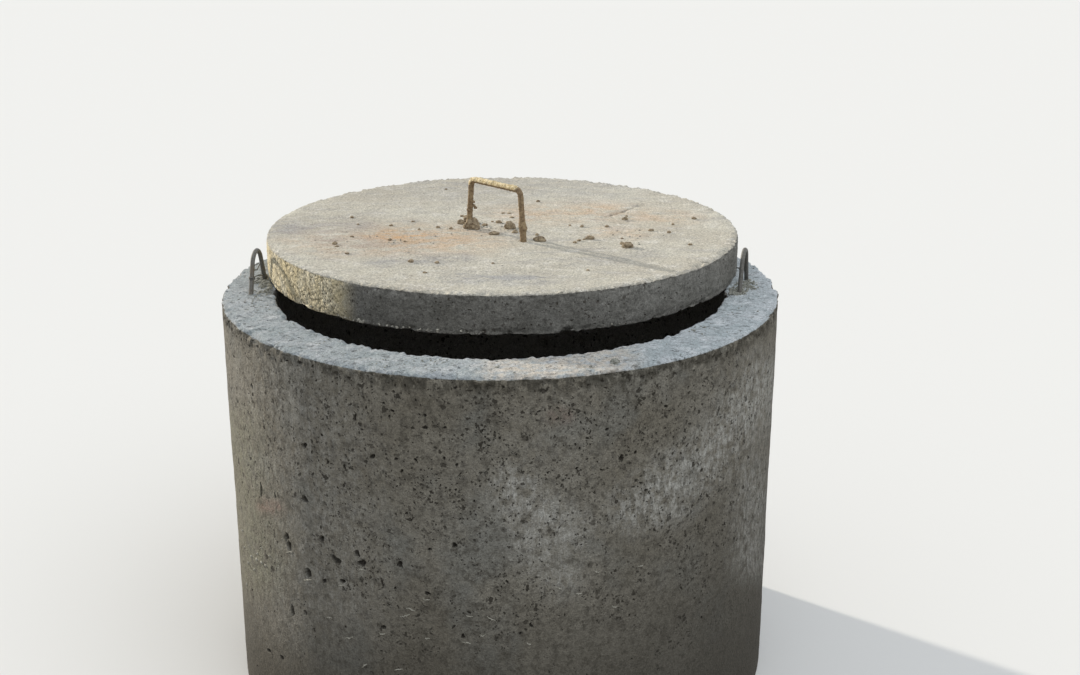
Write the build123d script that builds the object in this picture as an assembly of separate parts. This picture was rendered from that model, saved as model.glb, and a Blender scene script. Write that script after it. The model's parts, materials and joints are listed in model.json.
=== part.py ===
from build123d import *
import os
from math import asin, atan2, cos, degrees, hypot, radians, sin, sqrt, tan

# Millimetres. Origin on the ring's axis at its base, +Z up, -Y towards the side
# where the cover leaves the bore partly open.

# Ring: a short length of plain-ended concrete pipe, cast standing on end
bore_diameter = 600.0
wall = 70.0
ring_height = 540.0
ring_outer_arris = 5.0
ring_inner_arris = 4.0
ring_base_arris = 3.0

# Cover: a flat round slab, cast lying flat and trowelled on top
cover_bearing = 28.0
cover_thickness = 52.0
cover_top_arris = 4.0
cover_base_arris = 2.0

# Lifting loops: a hairpin of bent wire on each side, cast into the rim
loop_wire = 6.0
loop_inset = 25.5
loop_spread = 66.0
loop_rise = 50.0
loop_bend = 20.0
loop_embed = 90.0
# Where each loop stands round the rim, from +X, and how far it is turned from the rim's run
loops = {
    "lifting_loop_left": {"place": 182.9, "turn": -8.9},
    "lifting_loop_right": {"place": -1.7, "turn": -13.7},
}

# Handle: one ribbed bar bent to a wide U, cast into the cover
handle_bar = 8.0
handle_spread = 109.0
handle_grip = 97.0
handle_rise = 70.0
handle_bend = 9.0
handle_end_cover = 16.0
# Where its middle stands from the cover's middle, and how its grip is turned from +X
handle_offset_x = -8.5
handle_offset_y = -42.5
handle_turn = -45.0

# The cover lies pushed back on the rim, just clear of the lifting loops
cover_to_loop_gap = 3.0

bore_radius = bore_diameter / 2
ring_radius = bore_radius + wall
loop_radius = bore_radius + loop_inset
cover_radius = bore_radius + cover_bearing


def bent_bar(corners, bend, diameter):
    """Round bar along a path in the XZ plane: straight runs joined by bends."""
    path = FilletPolyline(*[(x, 0, z) for x, z in corners], radius=bend)
    stretches = []
    for run in path.edges():
        section = Plane(origin=run @ 0, z_dir=run % 0) * Circle(diameter / 2)
        if run.geom_type == GeomType.LINE:
            stretches.append(extrude(section, run.length))
        else:
            centre = run.arc_center
            turning = Axis(centre, (run @ 0 - centre).cross(run % 0))
            stretches.append(revolve(section, turning, degrees(run.length / run.radius)))
    return Part() + stretches


def loop_shape():
    """Lifting loop with the rim's top at z = 0: two leaning legs and one round crown."""
    half = loop_spread / 2
    bend = min(loop_bend, 0.9 * half, 0.9 * loop_rise)
    centre_z = loop_rise - bend
    lean = atan2(half, centre_z) - asin(bend / hypot(half, centre_z))
    apex_z = half / tan(lean)
    end_x = half + loop_embed * tan(lean)
    return bent_bar([(-end_x, -loop_embed), (0, apex_z), (end_x, -loop_embed)], bend, loop_wire)


def loop_middle(place):
    """Where a loop's middle stands on the rim, in plan."""
    return loop_radius * cos(radians(place)), loop_radius * sin(radians(place))


def loop_heading(place, turn):
    """Angle from +X of a loop's own plane: the rim's run at its place, plus its turn."""
    return place + 90 + turn


def loop_legs(place, turn):
    """Where the two legs of a loop leave the rim, in plan."""
    x, y = loop_middle(place)
    heading = radians(loop_heading(place, turn))
    halves = (-loop_spread / 2, loop_spread / 2)
    return [(x + half * cos(heading), y + half * sin(heading)) for half in halves]


def placed_loop(place, turn):
    """Lifting loop set into the rim."""
    return Pos(*loop_middle(place), ring_height) * Rot(0, 0, loop_heading(place, turn)) * loop_shape()


def cover_setback():
    """How far the cover's middle lies behind the axis, so that its edge clears every loop leg."""
    reach = cover_radius + loop_wire / 2 + cover_to_loop_gap
    legs = [leg for loop in loops.values() for leg in loop_legs(**loop)]
    return max(y + sqrt(max(reach**2 - x**2, 0.0)) for x, y in legs)


def placed_handle(cover_y):
    """Handle with its grip above the cover and its legs' ends in the slab."""
    lean = (handle_spread - handle_grip) / 2 / handle_rise
    embed = cover_thickness - handle_end_cover
    end_x = handle_spread / 2 + lean * embed
    right_leg = [(handle_grip / 2, handle_rise), (end_x, -embed)]
    left_leg = [(-x, z) for x, z in reversed(right_leg)]
    bar = bent_bar(left_leg + right_leg, handle_bend, handle_bar)
    middle = Pos(handle_offset_x, cover_y + handle_offset_y, ring_height + cover_thickness)
    return middle * Rot(0, 0, handle_turn) * bar


def ring(cast_in):
    """Ring turned from its wall section, less the room of the bars cast into it."""
    section = Pos(bore_radius + wall / 2, ring_height / 2) * Rectangle(wall, ring_height)
    arrises = [
        ((ring_radius, ring_height), ring_outer_arris),
        ((bore_radius, ring_height), ring_inner_arris),
        ((bore_radius, 0), ring_base_arris),
        ((ring_radius, 0), ring_base_arris),
    ]
    for corner, arris in arrises:
        section = chamfer(section.vertices().sort_by_distance(corner)[0], arris)
    return revolve(Plane.XZ * section, Axis.Z) - cast_in


def cover(cover_y, cast_in):
    """Round slab resting on the rim, less the room of the bar cast into it."""
    slab = Cylinder(cover_radius, cover_thickness, align=(Align.CENTER, Align.CENTER, Align.MIN))
    slab = chamfer(slab.edges().group_by(Axis.Z)[-1], cover_top_arris)
    slab = chamfer(slab.edges().group_by(Axis.Z)[0], cover_base_arris)
    return Pos(0, cover_y, ring_height) * slab - cast_in


def build():
    """All pieces by name."""
    pieces = {name: placed_loop(**loop) for name, loop in loops.items()}
    cover_y = cover_setback()
    pieces["cover_handle"] = placed_handle(cover_y)
    pieces["culvert_ring"] = ring([pieces[name] for name in loops])
    pieces["cover_slab"] = cover(cover_y, pieces["cover_handle"])
    return pieces


os.makedirs("parts", exist_ok=True)
for name, shape in build().items():
    export_step(shape, f"parts/{name}.step")
    print(name, "volume", round(shape.volume), "box", shape.bounding_box().size)
print("cover set back", round(cover_setback(), 1))
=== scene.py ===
"""Concrete culvert ring with a loose cover, its handle and its lifting loops. Metres, +Z up."""

import json
import math
import random

import bmesh
import bpy
import numpy as np
from mathutils import Matrix, Vector, noise
from mathutils.geometry import delaunay_2d_cdt


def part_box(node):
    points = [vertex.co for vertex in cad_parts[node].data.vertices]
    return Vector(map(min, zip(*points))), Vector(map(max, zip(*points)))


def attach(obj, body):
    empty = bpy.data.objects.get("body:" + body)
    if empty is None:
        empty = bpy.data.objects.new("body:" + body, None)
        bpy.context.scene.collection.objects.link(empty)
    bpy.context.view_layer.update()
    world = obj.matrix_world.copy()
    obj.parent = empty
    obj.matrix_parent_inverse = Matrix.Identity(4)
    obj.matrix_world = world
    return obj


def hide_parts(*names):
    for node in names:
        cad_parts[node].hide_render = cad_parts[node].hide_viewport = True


MM = 0.001
UPWARD = Vector((0, 0, 1))

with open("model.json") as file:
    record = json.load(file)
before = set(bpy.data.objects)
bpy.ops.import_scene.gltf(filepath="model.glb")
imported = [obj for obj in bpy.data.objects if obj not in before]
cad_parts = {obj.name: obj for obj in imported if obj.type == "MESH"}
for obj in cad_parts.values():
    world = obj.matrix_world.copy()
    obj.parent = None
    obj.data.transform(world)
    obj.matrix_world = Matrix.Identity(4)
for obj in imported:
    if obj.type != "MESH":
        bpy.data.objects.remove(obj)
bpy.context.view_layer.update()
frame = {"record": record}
ring_low, ring_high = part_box("culvert_ring")
cover_low, cover_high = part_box("cover_slab")
mount_sizes = {mount["name"]: mount["dims"] for mount in frame["record"]["mounts"]}

# Ring
RING_RADIUS = (ring_high.x - ring_low.x) / 2
RING_HEIGHT = ring_high.z
BORE_RADIUS = mount_sizes["bore"]["r_mm"] * MM
WALL_MIDDLE = (RING_RADIUS + BORE_RADIUS) / 2
RING_OUTER_ARRIS = 5 * MM
RING_INNER_ARRIS = 4 * MM
RING_BASE_ARRIS = 3 * MM

# Cover
COVER_RADIUS = (cover_high.x - cover_low.x) / 2
COVER_MIDDLE = (cover_low + cover_high) / 2
COVER_TOP = cover_high.z
COVER_TOP_ARRIS = 2.5 * MM
COVER_BASE_ARRIS = 2 * MM

# Handle, as its solid is bent
HANDLE_BAR = 8 * MM
HANDLE_SPREAD = 109 * MM
HANDLE_GRIP = 97 * MM
HANDLE_RISE = 70 * MM
HANDLE_BEND = 9 * MM
HANDLE_BURIED = 20 * MM
HANDLE_OFFSET = Vector((-8.5 * MM, -42.5 * MM, 0))
HANDLE_TURN = math.radians(-45)
HANDLE_LEAN = (HANDLE_SPREAD - HANDLE_GRIP) / 2 / HANDLE_RISE
RIB_SPACING = 6 * MM
RIB_HEIGHT = 0.45 * MM
SWELLING_LEVEL = 21 * MM

# Lifting loops, as their solids are bent
LOOP_WIRE = 6 * MM
LOOP_RADIUS = BORE_RADIUS + 25.5 * MM
LOOP_SPREAD = 66 * MM
LOOP_RISE = 50 * MM
LOOP_BEND = 20 * MM
LOOP_BURIED = 12 * MM
LOOPS = {
    "lifting_loop_left": {"place": 182.9, "turn": -8.9},
    "lifting_loop_right": {"place": -1.7, "turn": -13.7},
}
TIE_WIRE = 1.6 * MM

# View
VIEW_WIDTH = 1080
VIEW_HEIGHT = 675
FOCAL_LENGTH = 1470.92
SENSOR_WIDTH = 36.0
CAMERA_PLACE = Vector((52.56 * MM, -1906.60 * MM, RING_HEIGHT + 562.87 * MM))
CAMERA_PITCH = math.radians(18.539)
CAMERA_ROLL = math.radians(0.0777)
PIXEL_AT_COVER = 1.41 * MM
PIXEL_AT_WALL = 1.09 * MM

FORWARD = Vector((0, math.cos(CAMERA_PITCH), -math.sin(CAMERA_PITCH)))
LEVEL_RIGHT = Vector((1, 0, 0))
LEVEL_UP = LEVEL_RIGHT.cross(FORWARD)
RIGHT = math.cos(CAMERA_ROLL) * LEVEL_RIGHT + math.sin(CAMERA_ROLL) * LEVEL_UP
UP = math.cos(CAMERA_ROLL) * LEVEL_UP - math.sin(CAMERA_ROLL) * LEVEL_RIGHT


def sight(x, y):
    """Direction of the line of sight through a point of the view."""
    return FOCAL_LENGTH * FORWARD + (x - VIEW_WIDTH / 2) * RIGHT - (y - VIEW_HEIGHT / 2) * UP


def on_level(x, y, height):
    """Where the line of sight meets a level plane."""
    line = sight(x, y)
    return CAMERA_PLACE + line * (height - CAMERA_PLACE.z) / line.z


def on_drum(x, y):
    """Where the line of sight first meets the ring's outer wall: angle and height."""
    line = sight(x, y)
    a = line.x**2 + line.y**2
    b = CAMERA_PLACE.x * line.x + CAMERA_PLACE.y * line.y
    c = CAMERA_PLACE.x**2 + CAMERA_PLACE.y**2 - RING_RADIUS**2
    hit = CAMERA_PLACE + line * (-b - math.sqrt(max(b * b - a * c, 0))) / a
    return math.atan2(hit.y, hit.x), hit.z


def in_view(points):
    """View places of an array of points."""
    away = points - np.array(CAMERA_PLACE)
    depth = away @ np.array(FORWARD)
    x = VIEW_WIDTH / 2 + FOCAL_LENGTH * (away @ np.array(RIGHT)) / depth
    y = VIEW_HEIGHT / 2 - FOCAL_LENGTH * (away @ np.array(UP)) / depth
    return np.column_stack([x, y])


def near_line(places, line, width):
    """1 on a bent line, falling smoothly to 0 at its width."""
    nearest = np.full(len(places), np.inf)
    ends = [np.array(point, float) for point in line]
    for start, end in zip(ends, ends[1:]):
        along = end - start
        share = np.clip((places - start) @ along / (along @ along), 0, 1)
        nearest = np.minimum(nearest, np.linalg.norm(places - start - share[:, None] * along, axis=1))
    fall = np.clip(1 - nearest / width, 0, 1)
    return fall * fall * (3 - 2 * fall)


def stains(places, marks):
    """Strongest of several stains at each place: each is a bent line, its width and its strength."""
    return np.max([strength * near_line(places, line, width) for line, width, strength in marks], axis=0)


def fade(value, low, high):
    """Smooth step from 0 at low to 1 at high."""
    share = min(max((value - low) / (high - low), 0.0), 1.0)
    return share * share * (3 - 2 * share)


def rough(point, size, octaves=3):
    """Noise of about -1 to 1 whose lumps are of the given size."""
    return noise.fractal(point / size, 0.9, 2.1, octaves)


def waves(point, layers):
    """Sum of several layers of noise: each is its height, the size of its lumps and its octaves."""
    return sum(height * rough(point, size, octaves) for height, size, octaves in layers)


def polar(radius, angle, height=0.0):
    """Place at a distance from the upright axis, an angle from +X and a height."""
    return Vector((radius * math.cos(angle), radius * math.sin(angle), height))


# Sheets: a surface is laid out flat, holed, cut into triangles and then wrapped to its shape


def section(corners, arrises, steps=6):
    """Closed section with rounded corners: run along it, and rows of radius, height and outward normal."""
    corners = [np.array(corner, float) for corner in corners]
    rows = []
    for i, corner in enumerate(corners):
        if i in (0, len(corners) - 1):
            along = corners[1] - corners[0] if i == 0 else corners[-1] - corners[-2]
            along /= np.linalg.norm(along)
            rows.append((*corner, along[1], -along[0]))
            continue
        before = (corner - corners[i - 1]) / np.linalg.norm(corner - corners[i - 1])
        after = (corners[i + 1] - corner) / np.linalg.norm(corners[i + 1] - corner)
        centre = corner + arrises[i - 1] * (after - before)
        for angle in np.linspace(0, math.pi / 2, steps + 1):
            normal = math.sin(angle) * before - math.cos(angle) * after
            rows.append((*(centre + arrises[i - 1] * normal), *normal))
    rows = np.array(rows)
    gaps = np.linalg.norm(np.diff(rows[:, :2], axis=0), axis=1)
    return np.concatenate([[0.0], np.cumsum(gaps)]), rows


def spread_rows(zones):
    """Distances along a section, zone by zone: each zone is its end, its spacing and its shake."""
    start = 0.0
    rows = []
    for end, spacing, shake in zones:
        count = max(1, round((end - start) / spacing))
        rows += [(start + (end - start) * k / count, spacing, shake) for k in range(count)]
        start = end
    return rows


# Rings of points in an air hole: share of its reach, share of its depth, darkness of its painted shade
HOLE_RINGS = [(1.0, 0.0, 0.1), (0.74, 0.7, 0.8), (0.4, 1.0, 1.0)]
WIDE_HOLE = 9 * MM
HOLE_MARGIN = 0.8 * MM


def hole(place, width, height, depth, turn=0.0, dark=1.0):
    """One air hole in a flat sheet, and how dark its painted shade is inside."""
    return {"place": place, "width": width, "height": height, "depth": depth, "turn": turn, "dark": dark}


def hole_points(found, rng):
    """Flat points of one air hole, with depth and darkness: ragged rim, steep inner ring, floor if wide."""
    width, height = found["width"], found["height"]
    count = max(7, min(18, round(5 + (width + height) / 2.2 / MM)))
    lean, spin = rng.uniform(0, 2 * math.pi), rng.uniform(0, 2 * math.pi)
    spokes = []
    for k in range(count):
        angle = 2 * math.pi * (k + rng.uniform(-0.28, 0.28)) / count
        lobes = 1 + 0.2 * math.sin(2 * angle + lean) + 0.12 * math.sin(3 * angle + spin)
        spokes.append((angle, lobes * rng.uniform(0.8, 1.1)))
    place = Vector(found["place"])
    turn = Matrix.Rotation(found["turn"], 2)
    points = [(*place, found["depth"], found["dark"])]
    for share, sunk, dark in HOLE_RINGS if width + height > WIDE_HOLE else HOLE_RINGS[:-1]:
        for angle, reach in spokes:
            out = Vector((width * math.cos(angle), height * math.sin(angle)))
            spoke = out * share * reach / 2
            depth = sunk * found["depth"] * rng.uniform(0.8, 1.1)
            points.append((*(place + turn @ spoke), depth, dark * found["dark"]))
    return points


def clear_of(place, reach, holes):
    """Whether a new hole stays clear of the earlier ones."""
    taken = np.array([(*other["place"], max(other["width"], other["height"]) / 2) for other in holes])
    gaps = np.hypot(taken[:, 0] - place[0], taken[:, 1] - place[1])
    return bool(np.all(gaps > taken[:, 2] * 1.15 + reach * 1.3))


def cut_sheet(grid, holes, rng):
    """Flat points of a sheet with its holes: rows of x, y, depth and darkness."""
    kept = np.ones(len(grid), bool)
    added = []
    for found in holes:
        x, y = (grid - np.array(found["place"])).T
        cos, sin = math.cos(found["turn"]), math.sin(found["turn"])
        across = (x * cos + y * sin) / (found["width"] * 0.56 + HOLE_MARGIN)
        along = (y * cos - x * sin) / (found["height"] * 0.56 + HOLE_MARGIN)
        kept &= across**2 + along**2 >= 1
        added += hole_points(found, rng)
    plain = np.column_stack([grid[kept], np.zeros((kept.sum(), 2))])
    return np.vstack([plain, np.array(added)])


def wrapped(flat, wrap, relief, marks):
    """Points, faces and marks of a flat sheet wrapped to its shape, with its relief and holes."""
    places = [Vector(point) for point in flat[:, :2]]
    _, _, triangles, origins, _, _ = delaunay_2d_cdt(places, [], [], 0, 1e-8)
    flat = flat[[origin[0] for origin in origins]]
    points, normals = wrap(flat)
    moved = [relief(Vector(point), Vector(normal)) for point, normal in zip(points, normals)]
    shaped = points + normals * (np.array(moved) - flat[:, 2])[:, None]
    faces = [tuple(triangle) for triangle in triangles]
    return flat, shaped, faces, {"hole": flat[:, 3], **marks(points, normals)}


def turned(run, rows, reach, angle):
    """Points and normals of a section turned round the upright axis, for places along it and angles."""
    radius, height, out, up = (np.interp(reach, run, rows[:, k]) for k in range(4))
    size = np.hypot(out, up)
    normals = np.column_stack([out / size * np.cos(angle), out / size * np.sin(angle), up / size])
    return np.column_stack([radius * np.cos(angle), radius * np.sin(angle), height]), normals


def placed(name, data):
    """New object in the scene."""
    thing = bpy.data.objects.new(name, data)
    bpy.context.scene.collection.objects.link(thing)
    return thing


def add_mesh(name, points, faces, marks=None, sharp=None):
    """Smooth mesh object with its point marks, its doubled seam points joined."""
    mesh = bpy.data.meshes.new(name)
    mesh.from_pydata([tuple(point) for point in points], [], faces)
    for mark, values in (marks or {}).items():
        attribute = mesh.attributes.new(mark, "FLOAT", "POINT")
        attribute.data.foreach_set("value", np.asarray(values, np.float32))
    joiner = bmesh.new()
    joiner.from_mesh(mesh)
    bmesh.ops.remove_doubles(joiner, verts=joiner.verts, dist=1e-6)
    bmesh.ops.recalc_face_normals(joiner, faces=joiner.faces)
    joiner.to_mesh(mesh)
    joiner.free()
    mesh.shade_smooth()
    if sharp:
        mesh.set_sharp_from_angle(angle=math.radians(sharp))
    return placed(name, mesh)


# Ring

ring_corners = [
    (WALL_MIDDLE, 0),
    (RING_RADIUS, 0),
    (RING_RADIUS, RING_HEIGHT),
    (BORE_RADIUS, RING_HEIGHT),
    (BORE_RADIUS, 0),
    (WALL_MIDDLE, 0),
]
ring_arrises = (RING_BASE_ARRIS, RING_OUTER_ARRIS, RING_INNER_ARRIS, RING_BASE_ARRIS)
ring_run, ring_rows = section(ring_corners, ring_arrises)
ARC = math.pi / 2 - 2  # what rounding a corner of radius 1 adds to the run along it
BASE_END = RING_RADIUS - WALL_MIDDLE + ARC * RING_BASE_ARRIS
WALL_END = BASE_END + RING_HEIGHT + ARC * RING_OUTER_ARRIS
RIM_END = WALL_END + RING_RADIUS - BORE_RADIUS + ARC * RING_INNER_ARRIS
BORE_END = RIM_END + RING_HEIGHT + ARC * RING_BASE_ARRIS
RING_RUN = float(ring_run[-1])
RING_ROUND = 2 * math.pi * RING_RADIUS
SEAM_ANGLE = math.pi / 2

ring_zones = [
    (BASE_END - 2 * MM, 16 * MM, 0.2),
    (BASE_END + 6 * MM, 3 * MM, 0.1),
    (WALL_END - 26 * MM, 6.4 * MM, 0.33),
    (WALL_END - 12 * MM, 4 * MM, 0.3),
    (WALL_END + 5 * MM, 2.4 * MM, 0.25),
    (RIM_END - 9 * MM, 3.2 * MM, 0.33),
    (RIM_END + 5 * MM, 2.4 * MM, 0.25),
    (RIM_END + 60 * MM, 7 * MM, 0.3),
    (BORE_END - 4 * MM, 14 * MM, 0.3),
    (BORE_END + 4 * MM, 4 * MM, 0.1),
    (RING_RUN, 16 * MM, 0.2),
]


def ring_flat(angle, height):
    """Place of a wall point in the unrolled sheet."""
    round_wall = (angle - SEAM_ANGLE) % (2 * math.pi)
    return round_wall * RING_RADIUS, BASE_END + height - ARC * RING_BASE_ARRIS / 2


def ring_grid(rng):
    """Points of the unrolled sheet, with matching ends where it closes."""
    points = []
    rows = spread_rows(ring_zones) + [(RING_RUN, 16 * MM, 0.0)]
    for index, (distance, spacing, shake) in enumerate(rows):
        edge = index in (0, len(rows) - 1)
        loose = 0.0 if edge else shake
        count = round(2 * math.pi * float(np.interp(distance, ring_run, ring_rows[:, 0])) / spacing)
        step = RING_ROUND / count
        points += [(0.0, distance), (RING_ROUND, distance)]
        for k in range(1, count):
            shift = 0.5 * (index % 2) * (not edge) * (0.2 < k / count < 0.8)
            x = (k + shift + rng.uniform(-loose, loose)) * step
            points.append((x, distance + rng.uniform(-loose, loose) * spacing))
    return np.array(points)


# Air holes seen in the wall: x, y, width and height in the view
WALL_HOLES = [
    (261.7, 490, 3, 15), (275.4, 496, 2, 6), (299.8, 492.5, 3, 7), (304.8, 499.5, 9, 7),
    (286.7, 537, 5, 10), (289.4, 546.5, 6, 9), (321.8, 540, 6, 9), (335.4, 560.4, 11, 10),
    (357, 554, 6, 10), (361.5, 564, 10, 9), (400, 565.5, 8, 7), (308, 573.6, 8, 9), (324, 581.8, 4, 7),
    (342, 581.8, 6, 6), (382, 584, 3, 12), (426.8, 594, 6, 6), (454.5, 546, 7, 6), (429.5, 550, 5, 4),
    (292.9, 611, 5, 11), (305.7, 613, 4, 5), (383, 628, 6, 5), (345.5, 627.5, 3, 3), (469, 613, 5, 3),
    (463, 637, 5, 6), (498, 591, 3, 3), (252, 386, 2.5, 6), (237.5, 401.6, 2, 4), (304.6, 446, 5, 7),
    (372.4, 457, 7, 6), (344.6, 468, 4, 8), (354.8, 417.7, 4, 9), (392.3, 411.4, 4, 4),
    (424.5, 428.4, 6, 4), (395.9, 459.6, 4, 4), (415.5, 460.5, 4, 4), (444, 458.8, 4, 4),
    (456.6, 465.9, 4, 4), (321.8, 435.5, 3, 4), (327, 417.7, 3, 4), (621.4, 458.6, 5, 9),
    (666, 406.8, 4, 4), (607, 430, 4, 4), (587.5, 439, 4, 4), (635.7, 453, 4, 4), (687.5, 446, 4, 4),
    (701.8, 471, 4, 4), (646.4, 490.7, 4, 4), (576.8, 469, 3, 4), (548, 473, 4, 3), (269, 651, 4, 5),
    (282, 658, 4, 5),
]
# Patches where small holes crowd: x, y and reach in the view, and how many
HOLE_CROWDS = [
    (701, 389, 17, 30), (663, 403, 12, 12), (676, 433, 12, 14), (695, 462, 9, 8), (590, 423, 14, 14),
    (626, 442, 20, 26), (573, 416, 12, 10), (500, 459, 14, 12), (555, 474, 12, 8), (641, 484, 11, 14),
    (650, 496, 14, 16), (415, 481, 20, 26), (452, 481, 16, 22), (320, 462, 8, 8), (351, 417, 10, 8),
    (486, 440, 22, 22), (434, 429, 12, 8), (423, 492, 14, 14), (469, 513, 14, 10), (662, 532, 34, 26),
    (500, 492, 14, 10), (360, 400, 50, 30), (345, 365, 45, 14), (340, 475, 40, 24), (560, 400, 50, 20),
]
# Widths of small holes in millimetres, from and to, and how often each is chosen
SMALL_HOLES = ((1.7, 2.8), (2.8, 4.2), (4.2, 6.5))
SMALL_HOLE_SHARES = (84, 14, 2)
# Notches tried under the rim, half of them round one angle in radians
RIM_NOTCHES = 150
NOTCHED_ANGLE = 3.75
# How many holes in the wall, and how many more in the rim and the bore, with the rim's share
WALL_HOLE_COUNT = 1330
RIM_AND_BORE_HOLES = 130
RIM_SHARE = 0.45
# Where along the section holes may lie in the rim and in the bore
IN_RIM = (WALL_END + 9 * MM, RIM_END - 9 * MM)
IN_BORE = (RIM_END + 10 * MM, BORE_END - 10 * MM)


def seen_hole(x, y, width, height, rng):
    """Air hole of the wall that fills the given box of the view."""
    left, right = (on_drum(x + side * width / 2, y)[0] for side in (-1, 1))
    top, bottom = (on_drum(x, y + side * height / 2)[1] for side in (-1, 1))
    wide = abs(right - left) * RING_RADIUS
    tall = abs(top - bottom)
    place = ring_flat(*on_drum(x, y))
    return hole(place, wide, tall, min(7 * MM, 0.7 * min(wide, tall)), rng.uniform(-0.3, 0.3))


def off_seam(place):
    """Whether a place in the sheet is clear of its two ends, which meet in the seam."""
    return 10 * MM < place[0] < RING_ROUND - 10 * MM


def hole_chance(place):
    """How likely a small hole is at a place of the sheet: patchy, and less towards the base."""
    angle = SEAM_ANGLE + place[0] / RING_RADIUS
    level = place[1] - BASE_END
    patchy = fade(rough(polar(RING_RADIUS, angle, level), 0.07, 2), -0.5, 0.5)
    return (0.3 + 0.7 * fade(level, 0.1, 0.3)) * patchy


def add_notches(rng, holes):
    """Notches under the rim all round, and more of them round one angle."""
    for _ in range(RIM_NOTCHES):
        angle = rng.choice((rng.uniform(0, 2 * math.pi), rng.gauss(NOTCHED_ANGLE, 0.25)))
        place = (ring_flat(angle, 0)[0], WALL_END - rng.uniform(7, 16) * MM)
        width = rng.uniform(2.5, 11.0) * MM
        if off_seam(place) and clear_of(place, width, holes):
            holes.append(hole(place, width, rng.uniform(2.5, 6.5) * MM, rng.uniform(1, 2.8) * MM))


def add_small_hole(place, rng, holes):
    """A small hole, if its place is on the wall and clear of the others."""
    low, high = rng.choices(SMALL_HOLES, SMALL_HOLE_SHARES)[0]
    width = rng.uniform(low, high) * MM
    height = width * rng.uniform(0.8, 1.9)
    off_edges = BASE_END + 8 * MM < place[1] < WALL_END - 14 * MM
    if off_seam(place) and off_edges and clear_of(place, height / 2, holes):
        turn = rng.uniform(-0.9, 0.9)
        holes.append(hole(place, width, height, 0.75 * width, turn, rng.uniform(0.55, 1.0)))


def wall_holes(rng):
    """Air holes of the outer wall: the ones seen, notches, and small ones in crowds and clumps."""
    holes = [seen_hole(*box, rng) for box in WALL_HOLES]
    add_notches(rng, holes)
    for x, y, reach, count in HOLE_CROWDS:
        for _ in range(count):
            seen = (rng.gauss(x, reach * 0.45), rng.gauss(y, reach * 0.4))
            add_small_hole(ring_flat(*on_drum(*seen)), rng, holes)
    while len(holes) < WALL_HOLE_COUNT:
        x, y = rng.uniform(0, RING_ROUND), rng.uniform(BASE_END, WALL_END)
        if rng.random() > hole_chance((x, y)):
            continue
        for _ in range(rng.choice((1, 1, 2, 4, 7))):
            add_small_hole((rng.gauss(x, 4 * MM), rng.gauss(y, 5.5 * MM)), rng, holes)
    return holes


def rim_and_bore_holes(rng, holes):
    """Fewer holes in the rim, and some in the bore."""
    wanted = len(holes) + RIM_AND_BORE_HOLES
    while len(holes) < wanted:
        in_rim = rng.random() < RIM_SHARE
        low, high = IN_RIM if in_rim else IN_BORE
        place = (rng.uniform(0.02, RING_ROUND - 0.02), rng.uniform(low, high))
        width = rng.uniform(2.0, 4.5) * MM
        if clear_of(place, width, holes):
            holes.append(hole(place, width * 1.15, width, width * (0.45 if in_rim else 0.7)))
    return holes


# Layers of cast relief all over the ring: height in millimetres, size of the lumps and octaves
RING_SKIN = [(0.9, 0.16, 2), (0.45, 0.022, 3), (0.12, 0.006, 2)]
# Damage at the ring's upper edges: heights in millimetres, and how far down it reaches
RING_CHIPS = 5.0
RING_LIP = 2.6
RING_UNDERCUT = 2.6
DAMAGED_DEPTH = 30 * MM


def ring_relief(point, normal):
    """Height of the ring's cast surface over its plain shape, in metres."""
    aside = Vector((3, 0, 0))
    upright = 1 - abs(normal.z)
    drop = RING_HEIGHT - point.z
    height = waves(point, RING_SKIN)
    height += fade(normal.z, 0.3, 0.9) * (0.9 * rough(point + aside, 0.035) + 0.75 * rough(point, 0.009, 2))
    if drop < DAMAGED_DEPTH:
        radius = math.hypot(point.x, point.y)
        reach = min(abs(radius - RING_RADIUS), abs(radius - BORE_RADIUS)) + drop
        edge = 1 - fade(reach, 3 * MM, 12 * MM)
        chips = RING_CHIPS * fade(rough(point, 0.026), 0.0, 0.7)
        lip = RING_LIP * fade(rough(point + aside, 0.03, 2), 0.0, 0.6)
        under = fade(drop, 5 * MM, 9 * MM) * (1 - fade(drop, 12 * MM, 24 * MM))
        height += edge * (upright * lip - 0.6 - chips - 2.0 * rough(point, 0.007, 2))
        height -= under * upright * RING_UNDERCUT * fade(rough(point, 0.012, 2), 0.0, 0.5)
    if normal.z < -0.5:
        height = min(height, 0.0) * 0.3
    return height * MM


# Stains on the ring as seen, and a painted patch of sunlight on the rim: bent line, width and strength
PALE_STAINS = [
    ([(765, 380), (735, 425), (705, 462), (660, 490)], 46, 1.0),
    ([(516, 490), (530, 515), (565, 530)], 46, 1.0),
    ([(528, 545), (558, 572)], 40, 0.75),
    ([(632, 508), (672, 497)], 42, 1.0),
    ([(752, 470), (752, 560)], 36, 0.6),
    ([(290, 390), (310, 460), (320, 570)], 120, 0.4),
    ([(560, 440), (480, 520)], 90, 0.2),
]
WARM_STAINS = [([(238, 430), (244, 480), (252, 530), (262, 570)], 44, 1.0)]
PINK_STAINS = [([(264, 505), (278, 508)], 12, 1.0), ([(556, 416), (566, 416)], 14, 0.6)]
# Painted sunlight: the cream patch on the rim's front
SUNLIT_CREAM_PATCH = [([(505, 372), (560, 368), (612, 360)], 44, 1.0)]


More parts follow.
